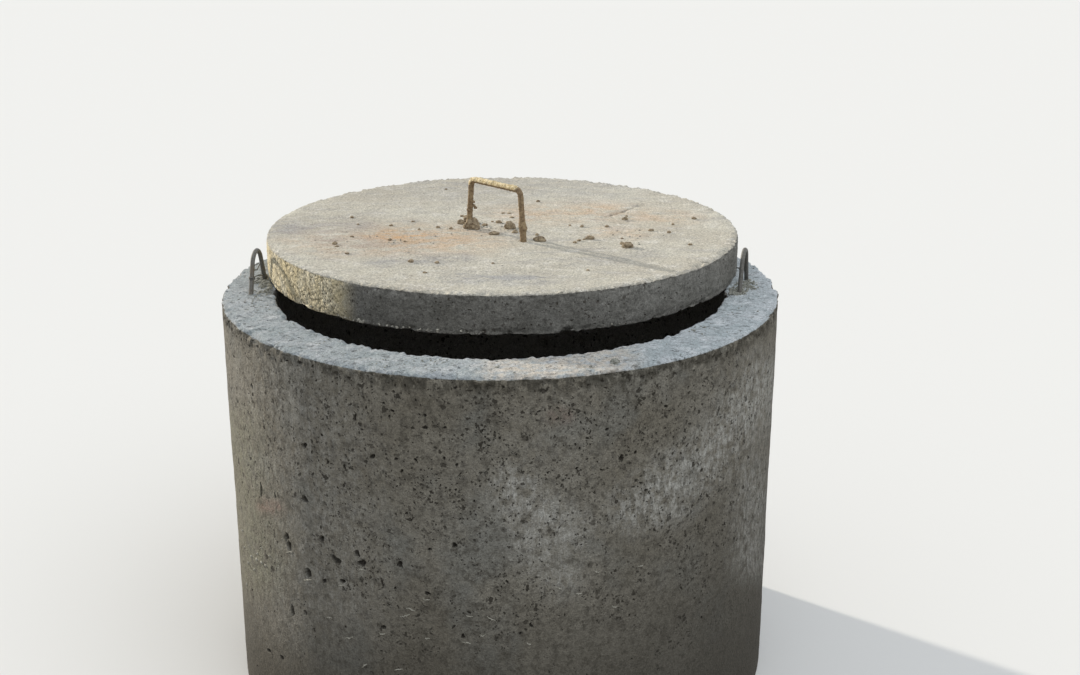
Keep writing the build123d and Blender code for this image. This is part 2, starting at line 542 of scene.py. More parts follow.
def ring_marks(points, normals):
    """Where the ring is pale, warm, pink or plastered, and where sunlight is painted cream on the rim, from
    0 to 1 at each point.
    """
    places = in_view(points)
    facing = np.clip(-(normals @ np.array(FORWARD)) * 4, 0, 1)
    outside = facing * (np.hypot(points[:, 0], points[:, 1]) > RING_RADIUS - 0.02)
    elsewhere = np.array([fade(rough(Vector(point), 0.25, 2), 0.2, 0.9) for point in points])
    behind = np.clip(normals[:, 1] * 3, 0, 1)
    return {
        "pale": np.maximum(stains(places, PALE_STAINS) * outside, 0.45 * elsewhere * behind),
        "warm": stains(places, WARM_STAINS) * outside,
        "pink": stains(places, PINK_STAINS) * outside,
        "plaster": np.clip((normals[:, 2] - 0.25) * 2.2, 0, 1),
        "cream": stains(places, SUNLIT_CREAM_PATCH) * facing,
    }


def wrap_ring(flat):
    """Points and normals on the plain ring for places in its sheet."""
    return turned(ring_run, ring_rows, flat[:, 1], SEAM_ANGLE + flat[:, 0] / RING_RADIUS)


def build_ring():
    """Cast ring with its air holes, chipped edges and uneven skin."""
    rng = random.Random(11)
    holes = rim_and_bore_holes(rng, wall_holes(rng))
    sheet = cut_sheet(ring_grid(rng), holes, rng)
    _, shaped, faces, marks = wrapped(sheet, wrap_ring, ring_relief, ring_marks)
    shaped[:, 2] = np.maximum(shaped[:, 2], 0.0)
    return add_mesh("ring_concrete", shaped, faces, marks, sharp=50)


# Cover, laid out round the middle of its top: the side and the underside lie outside the top

cover_corners = [(0, cover_low.z), (COVER_RADIUS, cover_low.z), (COVER_RADIUS, COVER_TOP), (0, COVER_TOP)]
cover_run, cover_rows = section(cover_corners, (COVER_BASE_ARRIS, COVER_TOP_ARRIS))
COVER_RUN = float(cover_run[-1])
SIDE_START = COVER_RADIUS + ARC * COVER_BASE_ARRIS
TOP_START = SIDE_START + COVER_TOP - cover_low.z + ARC * COVER_TOP_ARRIS
UNDERSIDE_CLOSED = 60 * MM
UNDERSIDE_COUNT = 600

cover_zones = [
    (COVER_RADIUS - 14 * MM, 40 * MM, 0.0),
    (SIDE_START - 2 * MM, 3.5 * MM, 0.1),
    (TOP_START + 8 * MM, 1.7 * MM, 0.3),
    (COVER_RUN, 4.8 * MM, 0.33),
]

# Groove scratched in the top, and hollows: x, y in the view, and a hollow's width in millimetres
GROOVE = [(599, 219), (643, 204)]
TOP_HOLLOWS = [
    (706, 262, 9), (690, 244, 6), (335, 242, 6), (348, 254, 5), (424, 272, 5), (651, 229, 4), (538, 201, 3)
]
GROOVE_WIDTH = 11 * MM
GROOVE_DEPTH = 2.2 * MM
HOLLOW_DEPTH = 1.2 * MM
TOP_HOLES = 90
COVER_HOLES = 400

# Pebbled stretch of the cover's side: size of a pebble, and from where to where in degrees
PEBBLE = 3.6 * MM
PEBBLED_FROM = 168
PEBBLED_TO = 235
# Layers of relief: height in millimetres, size of the lumps and octaves
TOP_SKIN = [(0.8, 0.12, 2), (0.45, 0.03, 3), (0.35, 0.009, 2)]
SIDE_SKIN = [(0.5, 0.03, 3), (0.6, 0.008, 2)]


def cover_grid(rng):
    """Points of the cover's layout, ring by ring."""
    points = [(0.0, 0.0)]
    for index, (distance, spacing, shake) in enumerate(spread_rows(cover_zones)):
        if distance < UNDERSIDE_CLOSED:
            continue
        radius = float(np.interp(distance, cover_run, cover_rows[:, 0]))
        underside = distance < SIDE_START - 2 * MM
        count = UNDERSIDE_COUNT if underside else max(6, round(2 * math.pi * radius / spacing))
        for k in range(count):
            angle = 2 * math.pi * (k + 0.5 * (index % 2) + rng.uniform(-shake, shake)) / count
            out = COVER_RUN - distance + rng.uniform(-shake, shake) * spacing
            points.append((out * math.cos(angle), out * math.sin(angle)))
    return np.array(points)


def cover_holes(rng):
    """Groove and hollows in the cover's top, and small holes in its top and side."""
    def from_middle(x, y):
        return (on_level(x, y, COVER_TOP) - COVER_MIDDLE).xy

    start, end = (from_middle(*place) for place in GROOVE)
    along = end - start
    turn = math.atan2(along.y, along.x)
    holes = [hole(tuple((start + end) / 2), along.length, GROOVE_WIDTH, GROOVE_DEPTH, turn, 0.58)]
    for x, y, width in TOP_HOLLOWS:
        holes.append(hole(tuple(from_middle(x, y)), width * 1.3 * MM, width * MM, HOLLOW_DEPTH, 0.0, 0.6))
    while len(holes) < COVER_HOLES:
        angle = rng.uniform(0, 2 * math.pi)
        reach = COVER_RADIUS * math.sqrt(rng.uniform(0.0, 0.93))
        if len(holes) > TOP_HOLES:
            reach = COVER_RUN - rng.uniform(SIDE_START + 5 * MM, TOP_START - 6 * MM)
        place = (reach * math.cos(angle), reach * math.sin(angle))
        width = rng.uniform(1.8, 3.4) * MM
        if clear_of(place, width, holes):
            length = width * rng.uniform(1, 1.5)
            holes.append(hole(place, length, width, 0.5 * width, 0.0, rng.uniform(0.4, 1.0)))
    return holes


def pebbled(point):
    """How pebbly the cover's side is: strongly on the left, little elsewhere."""
    angle = math.degrees(math.atan2(point.y - COVER_MIDDLE.y, point.x - COVER_MIDDLE.x)) % 360
    return fade(angle, PEBBLED_FROM - 40, PEBBLED_FROM) * (1 - fade(angle, PEBBLED_TO - 5, PEBBLED_TO + 4))


def pebble_gap(point):
    """0 on a pebble, rising to 1 between pebbles."""
    nearest = noise.voronoi(Vector((point.x, point.y, 0.7 * point.z)) / PEBBLE)[0]
    return 1 - fade(nearest[1] - nearest[0], 0.0, 0.4)


# Heights of chips broken from the cover's edges, in millimetres
TOP_CHIPS = 3.0
LOW_CHIPS = 4.2
UNDER_CHIPS = 4.0


def cover_relief(point, normal):
    """Height of the cover's surface over its plain shape, in metres."""
    reach = COVER_RADIUS - math.hypot(point.x - COVER_MIDDLE.x, point.y - COVER_MIDDLE.y)
    low_chips = fade(rough(point + Vector((0, 5, 0)), 0.022), -0.1, 0.6)
    if normal.z < -0.5:
        return -UNDER_CHIPS * MM * low_chips * (1 - fade(reach, 1 * MM, 9 * MM))
    side = 1 - abs(normal.z)
    top = fade(normal.z, 0.5, 0.95)
    height = top * waves(point, TOP_SKIN)
    strong = pebbled(point)
    plain = 1 - 0.6 * strong
    if side > 0.01:
        height += side * (1.4 * rough(point, 0.11, 2) + plain * waves(point, SIDE_SKIN))
        height += side * (0.45 * rough(point, 0.0035, 2) * plain - strong * pebble_gap(point))
    edge = 1 - fade(reach + COVER_TOP - point.z, 2 * MM, 12 * MM)
    if edge > 0:
        chips = TOP_CHIPS * fade(rough(point, 0.022), 0.0, 0.7) + 1.8 * rough(point, 0.0055, 2)
        height -= edge * (0.6 + plain * chips + 0.7 * rough(point, 0.0026, 2))
    low = 1 - fade(point.z - cover_low.z, 2 * MM, 10 * MM)
    height -= low * side * (0.5 + LOW_CHIPS * plain * low_chips + 1.3 * rough(point, 0.0065, 2))
    return height * MM


# Stains on the cover's top as seen: bent line, width as seen from straight above, and strength
RUST_STAINS = [
    ([(386, 237), (410, 236)], 56, 1.0),
    ([(350, 240), (445, 240)], 100, 0.6),
    ([(528, 214), (600, 212)], 70, 0.42),
    ([(588, 211), (602, 209)], 50, 0.55),
    ([(645, 216), (672, 218)], 50, 0.4),
    ([(612, 232), (628, 234)], 40, 0.4),
]
GREY_SMEARS = [
    ([(385, 262), (458, 258)], 34, 0.9),
    ([(465, 277), (535, 279)], 44, 1.0),
    ([(332, 240), (364, 243)], 44, 0.7),
    ([(272, 229), (345, 227)], 52, 0.9),
    ([(575, 262), (650, 255)], 34, 0.5),
    ([(440, 186), (590, 186)], 110, 0.5),
]
FORESHORTENING = np.array([1.0, 4.0])  # how much the view squeezes the top across and in depth


def on_top(places, marks):
    """Strongest of several stains on the top at each place."""
    drawn = []
    for line, width, strength in marks:
        drawn.append(([np.array(point) * FORESHORTENING for point in line], width, strength))
    return stains(places * FORESHORTENING, drawn)


def cover_marks(points, normals):
    """Where the cover is stained, smeared or bare, and where its pebbled side gets painted sunlight and
    painted shade between pebbles, from 0 to 1 at each point.
    """
    places = in_view(points)
    top = np.clip((normals[:, 2] - 0.5) * 3, 0, 1)
    side = 1 - np.clip(normals[:, 2] * 2.2, 0, 1)
    beige = np.array([pebbled(Vector(point)) for point in points]) * side
    gaps = np.array([pebble_gap(Vector(point)) if strong else 0.0 for point, strong in zip(points, beige)])
    return {
        "rust": on_top(places, RUST_STAINS) * top,
        "smear": on_top(places, GREY_SMEARS) * top,
        "side": side,
        "beige": beige,
        "gap": gaps * beige,
    }


def wrap_cover(flat):
    """Points and normals on the plain cover for places in its layout."""
    reach = COVER_RUN - np.hypot(flat[:, 0], flat[:, 1])
    points, normals = turned(cover_run, cover_rows, reach, np.arctan2(flat[:, 1], flat[:, 0]))
    return points + np.array((COVER_MIDDLE.x, COVER_MIDDLE.y, 0.0)), normals


def build_cover():
    """Cover slab with its groove, hollows, pebbled side and chipped edges."""
    rng = random.Random(12)
    sheet = cut_sheet(cover_grid(rng), cover_holes(rng), rng)
    flat, shaped, faces, marks = wrapped(sheet, wrap_cover, cover_relief, cover_marks)
    reach = np.hypot(flat[:, 0], flat[:, 1])
    last = np.flatnonzero(reach > reach.max() - 1e-6)
    order = last[np.argsort(np.arctan2(flat[last, 1], flat[last, 0]))]
    faces.append(tuple(int(k) for k in order[::-1]))  # closes the hidden middle of the underside
    return add_mesh("cover_concrete", shaped, faces, marks, sharp=50)


def on_cover(x, y):
    """Where the line of sight meets the cover's top as cast."""
    point = on_level(x, y, COVER_TOP)
    return point + UPWARD * cover_relief(point, UPWARD)


# Bars and wires


def bent_line(corners, bend, step):
    """Points along straight runs joined by round bends, a step apart."""
    corners = [Vector(corner) for corner in corners]
    line = [corners[0]]
    for before, corner, after in zip(corners, corners[1:], corners[2:]):
        come = (corner - before).normalized()
        leave = (after - corner).normalized()
        turn = come.angle(leave)
        centre = corner + (leave - come).normalized() * bend / math.cos(turn / 2)
        start = corner - come * bend * math.tan(turn / 2) - centre
        axis = come.cross(leave).normalized()
        count = max(3, math.ceil(bend * turn / step))
        line += [centre + Matrix.Rotation(turn * k / count, 3, axis) @ start for k in range(count + 1)]
    line.append(corners[-1])
    run = np.concatenate([[0], np.cumsum([(b - a).length for a, b in zip(line, line[1:])])])
    even = np.linspace(0, run[-1], max(2, round(run[-1] / step)) + 1)
    return [Vector([np.interp(k, run, [point[axis] for point in line]) for axis in range(3)]) for k in even]


def tube(line, radius_at, sides):
    """Points and faces of a tube, whose radius follows from run, angle, place and direction."""
    points = []
    faces = []
    normal = (line[1] - line[0]).orthogonal()
    run = 0.0
    for k, place in enumerate(line):
        ahead = (line[min(k + 1, len(line) - 1)] - line[max(k - 1, 0)]).normalized()
        normal = (normal - ahead * normal.dot(ahead)).normalized()
        across = ahead.cross(normal)
        run += (place - line[k - 1]).length if k else 0.0
        for side in range(sides):
            angle = 2 * math.pi * side / sides
            out = math.cos(angle) * normal + math.sin(angle) * across
            points.append(place + out * radius_at(run, angle, place, out))
    for start in range(0, len(points) - sides, sides):
        for side in range(sides):
            turn = (side + 1) % sides
            faces.append((start + side, start + turn, start + sides + turn, start + sides + side))
    faces.append(tuple(range(sides))[::-1])
    faces.append(tuple(range(len(points) - sides, len(points))))
    return points, faces


def joined(shells):
    """Several shells of points and faces as one."""
    points = []
    faces = []
    for shell_points, shell_faces in shells:
        faces += [tuple(k + len(points) for k in face) for face in shell_faces]
        points += shell_points
    return points, faces


def lump(place, size, seed, levels=2):
    """One clod or crumb: a broken, lumpy ball that sits flat on its base."""
    ball = bmesh.new()
    bmesh.ops.create_icosphere(ball, subdivisions=levels, radius=1.0)
    offset = Vector((seed * 1.7, seed * 3.1, seed * 0.7))
    points = []
    for vertex in ball.verts:
        out = vertex.co.normalized()
        swell = 1 + 0.34 * noise.noise(out * 1.3 + offset) + 0.26 * noise.noise(out * 3.1 + offset)
        point = out * (swell + 0.1 * noise.noise(out * 8 + offset))
        point.z = max(point.z, -0.45)
        points.append(place + Vector((point.x * size[0], point.y * size[1], (point.z + 0.4) * size[2])))
    faces = [tuple(vertex.index for vertex in face.verts) for face in ball.faces]
    ball.free()
    return points, faces


HANDLE_FOOT = Vector((COVER_MIDDLE.x, COVER_MIDDLE.y, COVER_TOP)) + HANDLE_OFFSET
HANDLE_PLACE = Matrix.Translation(HANDLE_FOOT) @ Matrix.Rotation(HANDLE_TURN, 4, "Z")
# Knot of mud on the handle's left leg: offset to the right and back, level and size, in millimetres
HANDLE_KNOT = [
    (0, 1, 30, 4.2), (-0.5, -2, 25, 3.8), (4.5, -1, 31, 2.6), (7.5, -1, 28, 2.4), (4.5, -2, 37, 2.0)
]


def handle_line():
    """Middle line of the handle's bar, standing in the cover."""
    end_x = HANDLE_SPREAD / 2 + HANDLE_LEAN * HANDLE_BURIED
    right = [(HANDLE_GRIP / 2, 0, HANDLE_RISE), (end_x, 0, -HANDLE_BURIED)]
    left = [(-x, 0, z) for x, _, z in right[::-1]]
    return [HANDLE_PLACE @ point for point in bent_line(left + right, HANDLE_BEND, 0.7 * MM)]


def bare_radius(run, angle, place, out):
    """Radius of the handle's bar with its slanting ribs, its two seams and its rust."""
    across = math.sin(angle)
    wave = (run / RIB_SPACING + 0.16 * math.cos(2 * angle) + (0.5 if across > 0 else 0.0)) % 1.0
    rib = RIB_HEIGHT * fade(1 - abs(wave - 0.5) * 2, 0.62, 0.85) * abs(across) ** 0.5
    seam = 0.3 * MM * fade(abs(math.cos(angle)), 0.93, 0.99)
    rust = 0.3 * MM * rough(place + out * 2 * MM, 0.004, 2)
    return HANDLE_BAR / 2 - 0.2 * MM + max(rib, seam) + rust


def grip_mud(local, out):
    """How much the top of the grip is caked with mud, from 0 to 1."""
    on_grip = fade(local.z, HANDLE_RISE - 12 * MM, HANDLE_RISE - 4 * MM)
    on_grip *= 1 - fade(local.x, 38 * MM, 46 * MM)
    return fade(out.z, -0.6, 0.4) * on_grip


def mud_height(caked, local, place, out):
    """Height of the mud in millimetres: on the grip, round the feet and swollen on the right leg."""
    crumbly = 0.9 * max(0.0, rough(place, 0.012, 2))
    crumbly += 1.3 * max(0.0, rough(place + out * 3 * MM, 0.0034, 2))
    foot = 1 - fade(local.z, 2 * MM, 26 * MM)
    swelling = (local.x > 0) * (1 - fade(abs(local.z - SWELLING_LEVEL), 0.0, 12 * MM))
    uneven = 1 + rough(place + out * 4 * MM, 0.01, 2)
    return caked * (0.3 + crumbly) + (0.6 * foot + 1.5 * swelling) * uneven


def build_handle():
    """Ribbed bar with rust, a crust of mud along its grip, mud on its legs and a knot."""
    to_handle = HANDLE_PLACE.inverted()
    crust = []

    def radius_at(run, angle, place, out):
        local = to_handle @ place
        caked = grip_mud(local, out)
        crust.append(min(1.0, caked * 1.1))
        return bare_radius(run, angle, place, out) + mud_height(caked, local, place, out) * MM

    shells = [tube(handle_line(), radius_at, 24)]
    for aside, back, level, size in HANDLE_KNOT:
        leg_x = -HANDLE_GRIP / 2 - HANDLE_LEAN * (HANDLE_RISE - level * MM)
        place = HANDLE_PLACE @ Vector((leg_x, 0, level * MM)) + Vector((aside, back, 0)) * MM
        shells.append(lump(place, (size * MM, size * MM, size * MM), level, 3))
        crust += [0.2] * len(shells[-1][0])
    return add_mesh("handle_bar", *joined(shells), {"mud": crust}, sharp=60)


def loop_line(place, turn):
    """Middle line of one lifting loop, standing in the rim."""
    half = LOOP_SPREAD / 2
    centre_z = LOOP_RISE - LOOP_BEND
    lean = math.atan2(half, centre_z) - math.asin(LOOP_BEND / math.hypot(half, centre_z))
    end_x = half + LOOP_BURIED * math.tan(lean)
    corners = [(-end_x, 0, -LOOP_BURIED), (0, 0, half / math.tan(lean)), (end_x, 0, -LOOP_BURIED)]
    angle = math.radians(place)
    middle = polar(LOOP_RADIUS, angle, RING_HEIGHT)
    stand = Matrix.Translation(middle) @ Matrix.Rotation(math.radians(place + 90 + turn), 4, "Z")
    return [stand @ point for point in bent_line(corners, LOOP_BEND, 2 * MM)]


def wire_radius(radius):
    """Radius of a slightly uneven wire, for its tube."""
    def radius_at(run, angle, place, out):
        return radius * (1 + 0.06 * rough(place + out * radius, 0.01, 2))

    return radius_at


def build_loop(name):
    """One of the two lifting loops."""
    return add_mesh(name + "_wire", *tube(loop_line(**LOOPS[name]), wire_radius(LOOP_WIRE / 2), 16))


# Ends of thin wire at the loops: the loop, where on it in the view, and the run from there in millimetres
WIRE_ENDS = [
    ("lifting_loop_left", (252, 266), [(4, 3, 1), (8, 4, 3)]),
    ("lifting_loop_left", (252, 271), [(5, 8, -1), (7, 18, 4)]),
    ("lifting_loop_left", (261, 279), [(-3, -8, -3), (-7, -20, -8)]),
    ("lifting_loop_right", (742, 272), [(-2, 12, 3), (-4, 20, 1)]),
]
# Where the wire between the left loop's legs is tied, in the view
TIE_PLACES = [(251.5, 277.5), (261.5, 276.5)]
TIE_TURN_RADIUS = 4 * MM
TIE_PITCH = 1.8 * MM


def tie_turns(knot):
    """Two turns of thin wire round a leg of the loop."""
    angles = np.linspace(0, 4 * math.pi, 13)
    return [knot + polar(TIE_TURN_RADIUS, angle, (angle / 6.3 - 1) * TIE_PITCH) for angle in angles]


def build_tie_wires():
    """Thin wire tied across the left loop's legs, and loose ends at both loops."""
    lines = {name: loop_line(**bends) for name, bends in LOOPS.items()}

    def at(name, place):
        seen = in_view(np.array(lines[name]))
        return lines[name][int(np.argmin(np.linalg.norm(seen - np.array(place), axis=1)))]

    knots = [at("lifting_loop_left", place) for place in TIE_PLACES]
    bow = Vector((2 * MM, 0, 3 * MM))
    runs = [[knots[0], (knots[0] + knots[1]) / 2 + bow, knots[1]]]
    for name, place, steps in WIRE_ENDS:
        start = at(name, place)
        runs.append([start] + [start + Vector(step) * MM for step in steps])
    runs += [tie_turns(knot) for knot in knots]
    shells = [tube(bent_line(run, 1.2 * MM, 1.0 * MM), wire_radius(TIE_WIRE / 2), 8) for run in runs]
    return add_mesh("tie_wires", *joined(shells))


# Mud, crumbs and mortar

# Clods and pebbles on the cover: x, y, width and height in the view
CLODS = [
    (472, 224, 15, 14), (469, 219, 10, 9), (461, 222, 7, 6), (476, 227.5, 7, 5), (462, 216, 4, 3),
    (466.5, 218, 6, 6), (485, 224.5, 6, 3), (510, 225.5, 11, 10), (515, 231, 5, 3), (494, 233, 10, 4),
    (499, 221.5, 6, 4), (492.5, 221, 3, 2), (540, 239, 9, 7), (543, 240, 6, 4), (535, 239, 4, 4),
    (537, 234.5, 4, 3), (590, 237.5, 8, 5), (579, 240, 4, 3), (575, 242, 4, 3), (584, 239, 3, 2),
    (627.5, 245, 10, 7), (631, 246, 5, 4), (622, 243, 4, 4), (622, 238, 3, 2), (625, 218.5, 6, 4),
    (626.5, 216, 3, 2), (651, 230, 5, 3), (694, 218, 5, 3), (669, 232, 4, 3), (673, 224, 3, 3),
    (607, 226, 4, 3), (582, 226, 4, 3), (352, 217, 4, 3), (358, 224, 3, 2), (391, 225, 4, 3),
    (335, 243, 5, 4), (337, 246, 4, 2), (390, 239, 4, 3), (405, 241, 3, 2), (411, 261, 5, 4),
    (437, 262, 4, 3), (413, 221, 4, 2), (419, 229, 3, 2), (438, 227, 4, 3), (451, 228, 4, 3),
    (515, 232, 6, 3), (503, 213, 4, 2), (509, 213, 4, 2), (512, 217, 5, 2), (538, 201, 4, 3),
    (570, 225, 3, 2), (347, 253, 4, 2), (352, 236, 4, 2), (493, 263, 3, 2), (588, 270, 3, 2),
    (690, 244, 4, 3), (425, 272, 4, 2), (446, 189, 3, 2),
]
# Patches of crumbs: x, y and spread in the view, what they lie on, how many, and the largest in millimetres
CRUMB_PATCHES = [
    (475, 225, 14, 4, "cover", 50, 2.2),
    (508, 227, 15, 5, "cover", 36, 1.7),
    (612, 238, 60, 14, "cover", 26, 1.6),
    (400, 238, 70, 16, "cover", 60, 1.3),
    (267, 281, 9, 6, "rim", 330, 3.2),
    (274, 287, 5, 3, "rim", 90, 2.4),
    (262, 292, 12, 4, "rim", 90, 1.8),
    (738, 291, 9, 4, "rim", 240, 2.6),
    (747, 285, 9, 4, "rim", 160, 2.2),
    (250, 300, 20, 10, "rim", 70, 1.3),
    (616, 361.5, 4, 1.6, "rim", 26, 3.6),
    (590, 367, 5, 2, "rim", 12, 2.0),
    (497, 367, 2, 1, "rim", 6, 2.6),
    (420, 362, 90, 5, "rim", 60, 1.2),
    (690, 330, 24, 6, "rim", 50, 1.4),
]
LOOSE_RIM_CRUMBS = 150


def build_clods():
    """Clods and pebbles of dried mud on the cover."""
    rng = random.Random(13)
    shells = []
    for index, (x, y, width, height) in enumerate(CLODS):
        size = width * PIXEL_AT_COVER / 2
        shape = (size, size * rng.uniform(0.7, 0.95), height * PIXEL_AT_COVER * 0.52)
        base = on_cover(x, y + height * 0.3) - UPWARD * 0.3 * MM
        shells.append(lump(base, shape, index + 1.0, 4 if width > 6 else 3))
    return add_mesh("mud_clods", *joined(shells))


def rests_on(place, ground):
    """Whether a crumb at this place lies on the rim, clear of the cover, or well on the cover."""
    reach = math.hypot(place.x - COVER_MIDDLE.x, place.y - COVER_MIDDLE.y)
    if ground == "cover":
        return reach < COVER_RADIUS - 8 * MM
    radius = math.hypot(place.x, place.y)
    return BORE_RADIUS + 7 * MM < radius < RING_RADIUS - 8 * MM and reach > COVER_RADIUS + 2 * MM


def build_crumbs():
    """Crumbs in patches on the cover and the rim, and loose ones all round the rim."""
    rng = random.Random(14)
    places = []
    for x, y, across, deep, ground, count, largest in CRUMB_PATCHES:
        level = COVER_TOP if ground == "cover" else RING_HEIGHT
        for _ in range(count):
            place = on_level(rng.gauss(x, across / 2), rng.gauss(y, deep / 2), level)
            places.append((place, ground, largest * rng.uniform(0.35, 1.0) ** 1.5))
    for _ in range(LOOSE_RIM_CRUMBS):
        angle = rng.uniform(0, 2 * math.pi)
        place = polar(rng.uniform(BORE_RADIUS, RING_RADIUS), angle, RING_HEIGHT)
        places.append((place, "rim", rng.uniform(0.5, 1.4)))
    shells = []
    for place, ground, size in places:
        if not rests_on(place, ground):
            continue
        relief = cover_relief if ground == "cover" else ring_relief
        size *= MM
        base = place + UPWARD * (relief(place, UPWARD) - 0.2 * size)
        shape = (size, size * rng.uniform(0.7, 1.0), size * rng.uniform(0.6, 0.9))
        shells.append(lump(base, shape, rng.uniform(1, 90)))
    return add_mesh("crumbs", *joined(shells))


# Ridges of pale broken skin on the wall, as lines in the view
WALL_RIDGES = [
    [(400, 617), (410, 613.5)], [(406, 608), (415, 611)], [(466, 615.5), (473, 616)],
    [(487, 616), (497, 622)], [(425, 638), (430, 638.5)], [(462, 642), (471, 643)],
    [(480, 636), (486, 634)], [(345, 637.6), (353, 637)], [(379, 633), (385, 633.6)],
    [(362, 668), (367, 664)], [(304, 579.5), (312, 579.5)], [(286, 552.5), (293, 552)],
    [(357, 570), (366, 570.5)], [(338, 586), (345, 586)], [(394, 670), (403, 669.5)],
    [(556, 587), (562, 589)], [(594, 571), (599, 572)], [(638, 567), (643, 566)], [(527, 643), (531, 644)],
    [(299, 488), (300.5, 495)], [(423, 599), (430, 599.5)], [(326, 617), (332, 618)],
    [(576, 594), (582, 593)], [(612, 606), (617, 607)],
]
# Lumps of mortar at the wall's left edge: x, y, width and height in the view
WALL_LUMPS = [
    (252, 557, 5, 4), (257, 560, 6, 4), (262, 563, 6, 4), (266, 566, 5, 3), (258, 554, 4, 3),
    (249, 563, 4, 3), (270, 556, 4, 3), (245, 548, 3, 3), (247, 585, 4, 4), (255, 570, 3, 3),
    (262, 548, 3, 2), (243, 531, 3, 3),
]
COVER_EDGE_BITS = 60
# Angles on the cover's lower edge in degrees: a clump of bits, and the middles of stretches of bits
COVER_EDGE_CLUMP = 239
COVER_EDGE_STRETCHES = (228, 233, 237, 243, 246, 249, 256, 263, 298)


def on_wall(x, y, proud=0.0):
    """Where the line of sight meets the wall as cast, and the outward direction there."""
    angle, level = on_drum(x, y)
    out = polar(1, angle)
    plain = out * RING_RADIUS + UPWARD * level
    return plain + out * (ring_relief(plain, out) + proud), out


def ridge(start, end, rng):
    """One thin ridge of broken skin on the wall, between two places of the view."""
    along = Vector(end) - Vector(start)
    bow = rng.uniform(-0.8, 1.0)
    line = []
    for share in np.linspace(0, 1, 9):
        sag = bow * math.sin(math.pi * share) + rng.uniform(-0.55, 0.55)
        x, y = Vector(start) + along * share
        line.append(on_wall(x, y + sag, 0.1 * MM)[0])
    middle = line[len(line) // 2]
    reach = (line[-1] - line[0]).length / 2

    def radius_at(run, angle, place, out):
        taper = max(0.15, 1 - (place - middle).length / reach)
        return (0.3 + 0.7 * taper) * 0.9 * MM * (1 + 0.7 * rough(place, 0.002, 2))

    return tube(line, radius_at, 7)


def wall_lump(x, y, width, height):
    """One lump of mortar on the wall, at a place of the view."""
    place, out = on_wall(x, y)
    shape = (1.6 * MM, width * PIXEL_AT_WALL / 2, height * PIXEL_AT_WALL / 2)
    stand = Matrix.Translation(place) @ Matrix.Rotation(math.atan2(out.y, out.x), 4, "Z")
    points, faces = lump(Vector(), shape, x, 3)
    return [stand @ point for point in points], faces


def edge_bit(degrees, size, rng):
    """One bit of mortar that clings to the cover's lower edge."""
    out = polar(1, math.radians(degrees))
    level = cover_low.z + rng.uniform(1.8, 4.5) * MM
    plain = COVER_MIDDLE.xy.to_3d() + out * COVER_RADIUS + UPWARD * level
    size *= MM
    place = plain + out * cover_relief(plain, out) - UPWARD * 0.4 * size
    shape = (size * rng.uniform(0.8, 1.5), size * rng.uniform(0.8, 1.3), size)
    return lump(place, shape, rng.uniform(1, 90))


def build_mortar():
    """Pale mortar: ridges and lumps on the wall, and bits along the cover's lower edge."""
    rng = random.Random(15)
    shells = [ridge(start, end, rng) for start, end in WALL_RIDGES]
    shells += [wall_lump(*seen) for seen in WALL_LUMPS]
    bits = [(COVER_EDGE_CLUMP + rng.uniform(-0.7, 0.7), rng.uniform(1.3, 2.3)) for _ in range(6)]
    for _ in range(COVER_EDGE_BITS):
        bits.append((rng.gauss(rng.choice(COVER_EDGE_STRETCHES), 2.5), 1.9 * rng.uniform(0.4, 1.0) ** 2.5))
    shells += [edge_bit(degrees, size, rng) for degrees, size in bits]
    return add_mesh("mortar_bits", *joined(shells))


# Materials


